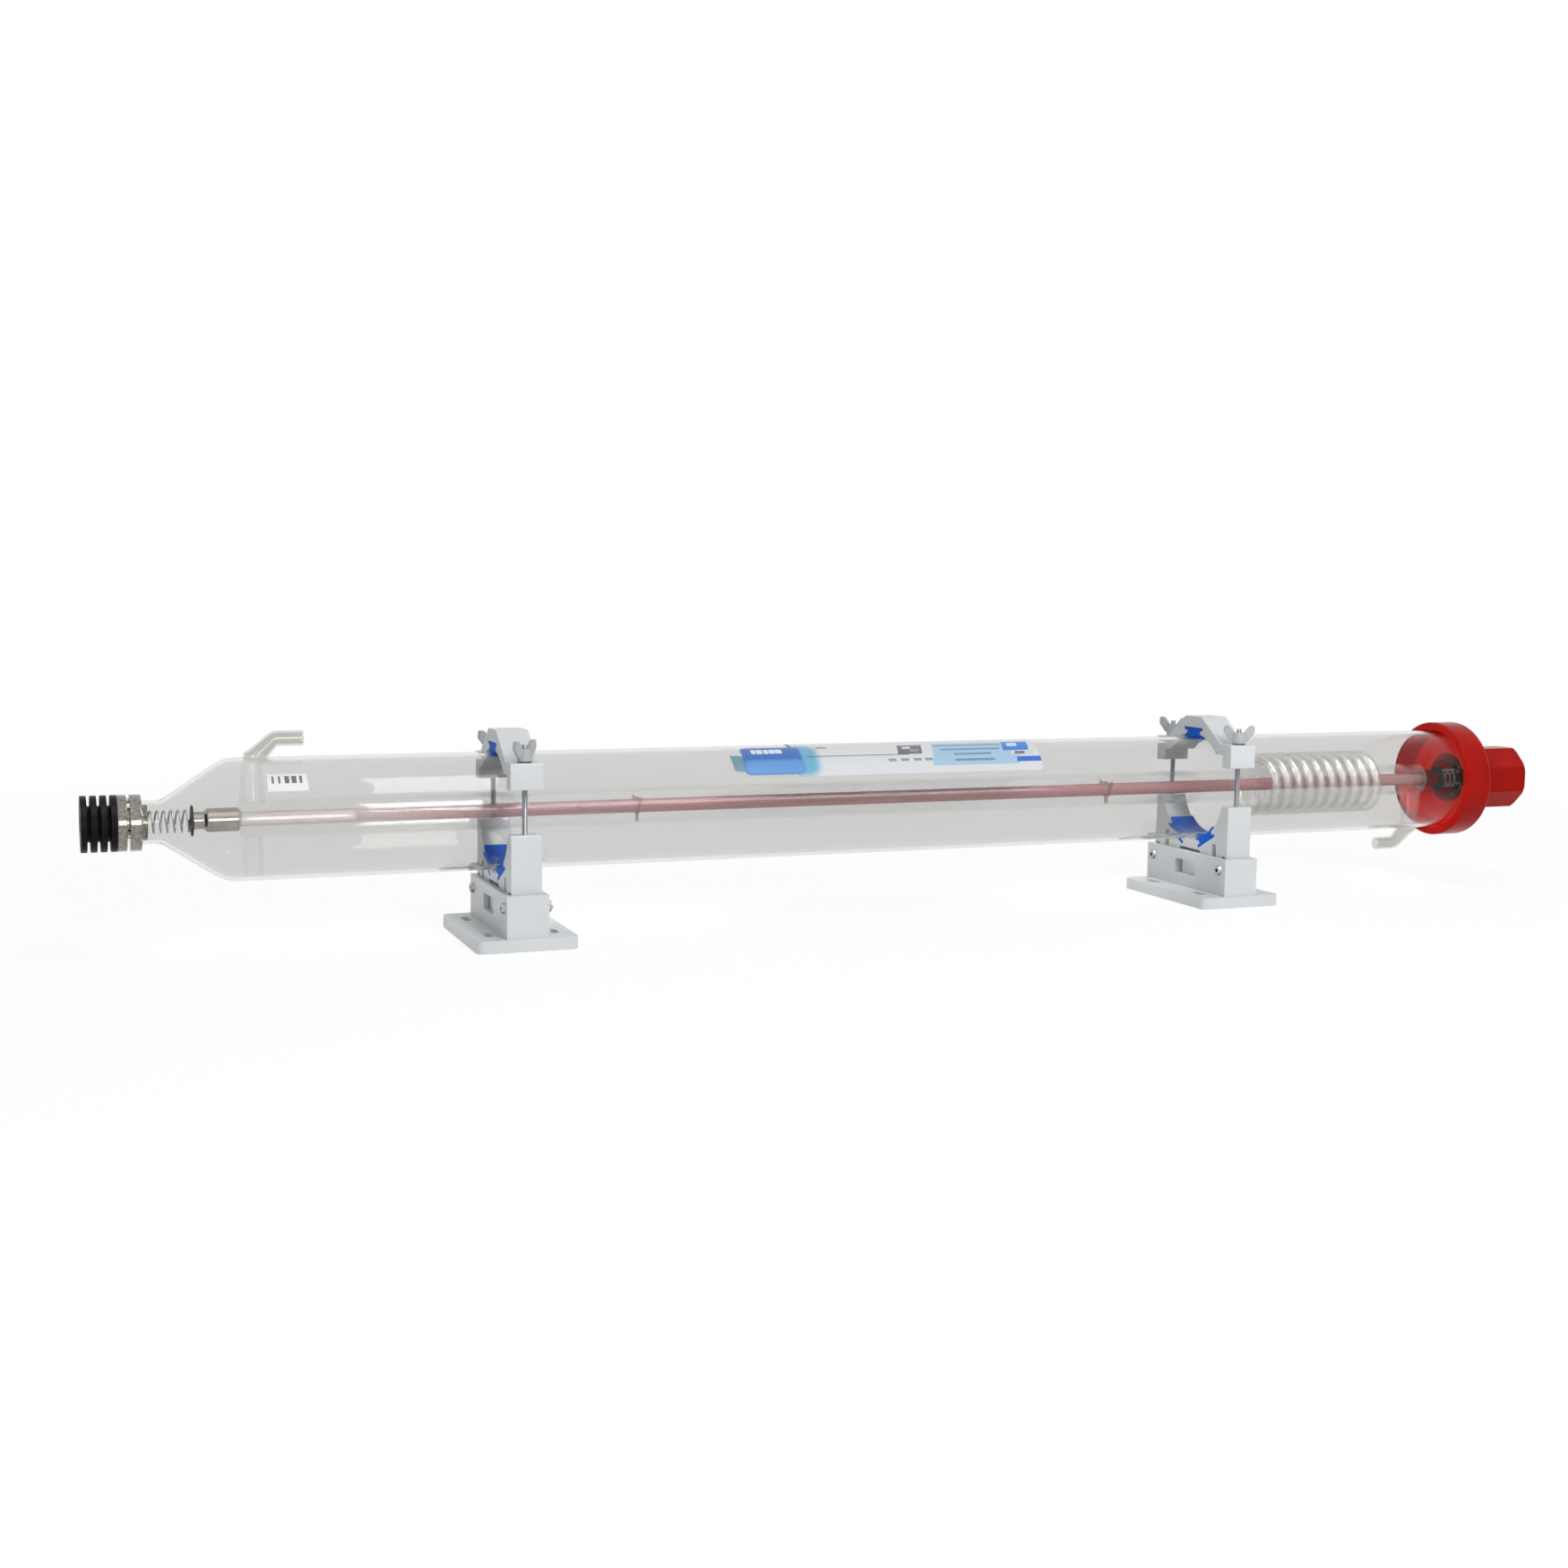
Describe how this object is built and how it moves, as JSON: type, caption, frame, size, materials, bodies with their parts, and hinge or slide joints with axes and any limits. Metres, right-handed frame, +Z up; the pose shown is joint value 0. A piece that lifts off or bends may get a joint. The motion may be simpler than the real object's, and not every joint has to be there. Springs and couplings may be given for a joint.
{
  "type": "carbon dioxide laser tube on adjustable holders",
  "caption": "Long sealed glass gas laser tube with a water-cooled core, a coiled gas return, a finned output head and a red end cap, clamped in height-adjustable holders.",
  "frame": {"origin": "on the surface the holders stand on, under the middle of the tube's whole length", "axes": "+X along the tube from the output end to the anode end, +Z up, -Y towards the side with the small sticker"},
  "size_m": [1.1288, 0.112, 0.1443],
  "materials": {
    "outer_glass": "clear, polished",
    "inner_glass": "clear, polished",
    "discharge_glass": "dusty rose tint through the water",
    "black_fins": "black anodised, satin",
    "bright_metal": "turned and polished",
    "electrode_sheet": "bright sheet metal",
    "spring_wire": "drawn wire",
    "fastener_steel": "plated, dull",
    "dark_washer": "blackened",
    "mirror_face": "coated",
    "seal_rubber": "smooth",
    "terminal_brass": "turned",
    "red_cap": "glossy, moulded",
    "holder_plastic": "moulded, light grey",
    "nut_plastic": "moulded, white",
    "blue_pad": "cut rubber, blue",
    "label_paper": "printed film in blue and white"
  },
  "bodies": {
    "tube": {"outer_tube": "outer_glass", "water_jacket": "inner_glass", "discharge_tube": "discharge_glass", "discharge_spacers": "inner_glass", "return_coil": "inner_glass", "coil_branch": "inner_glass", "upper_nozzle": "outer_glass", "lower_nozzle": "outer_glass", "jacket_stay": "inner_glass", "heat_sink": "black_fins", "output_seal": "seal_rubber", "output_mirror": "mirror_face", "output_mount": "bright_metal", "output_screws": "fastener_steel", "cathode": "electrode_sheet", "cathode_seat": "dark_washer", "cathode_spring": "spring_wire", "anode": "electrode_sheet", "anode_seat": "dark_washer", "anode_spring": "spring_wire", "rear_mount": "bright_metal", "rear_mirror": "mirror_face", "rear_seal": "seal_rubber", "rear_cover": "bright_metal", "rear_screws": "fastener_steel", "anode_terminal": "terminal_brass", "end_cap": "red_cap", "tube_label": "label_paper", "small_sticker": "label_paper", "left_cradle": "holder_plastic", "left_lower_pads": "blue_pad", "left_studs": "fastener_steel", "left_clamp": "holder_plastic", "left_upper_pad": "blue_pad", "left_washers": "dark_washer", "right_cradle": "holder_plastic", "right_lower_pads": "blue_pad", "right_studs": "fastener_steel", "right_clamp": "holder_plastic", "right_upper_pad": "blue_pad", "right_washers": "dark_washer"},
    "left_foot": {"left_base": "holder_plastic", "left_bolts": "fastener_steel", "left_nuts": "fastener_steel"},
    "left_front_nut": {"left_front_wing_nut": "nut_plastic"},
    "left_rear_nut": {"left_rear_wing_nut": "nut_plastic"},
    "right_foot": {"right_base": "holder_plastic", "right_bolts": "fastener_steel", "right_nuts": "fastener_steel"},
    "right_front_nut": {"right_front_wing_nut": "nut_plastic"},
    "right_rear_nut": {"right_rear_wing_nut": "nut_plastic"}
  },
  "joints": [
    {"name": "left_height", "type": "slide", "parent": "tube", "child": "left_foot", "axis": [0, 0, -1], "range_m": [-0.008, 0.008]},
    {"name": "left_front_nut_turn", "type": "hinge", "parent": "tube", "child": "left_front_nut", "pos_m": [-0.2907, -0.045, 0.1251], "axis": [0, 0, 1], "continuous": true},
    {"name": "left_rear_nut_turn", "type": "hinge", "parent": "tube", "child": "left_rear_nut", "pos_m": [-0.2907, 0.045, 0.1251], "axis": [0, 0, 1], "continuous": true},
    {"name": "right_height", "type": "slide", "parent": "tube", "child": "right_foot", "axis": [0, 0, -1], "range_m": [-0.008, 0.008]},
    {"name": "right_front_nut_turn", "type": "hinge", "parent": "tube", "child": "right_front_nut", "pos_m": [0.2655, -0.045, 0.1251], "axis": [0, 0, 1], "continuous": true},
    {"name": "right_rear_nut_turn", "type": "hinge", "parent": "tube", "child": "right_rear_nut", "pos_m": [0.2655, 0.045, 0.1251], "axis": [0, 0, 1], "continuous": true}
  ]
}
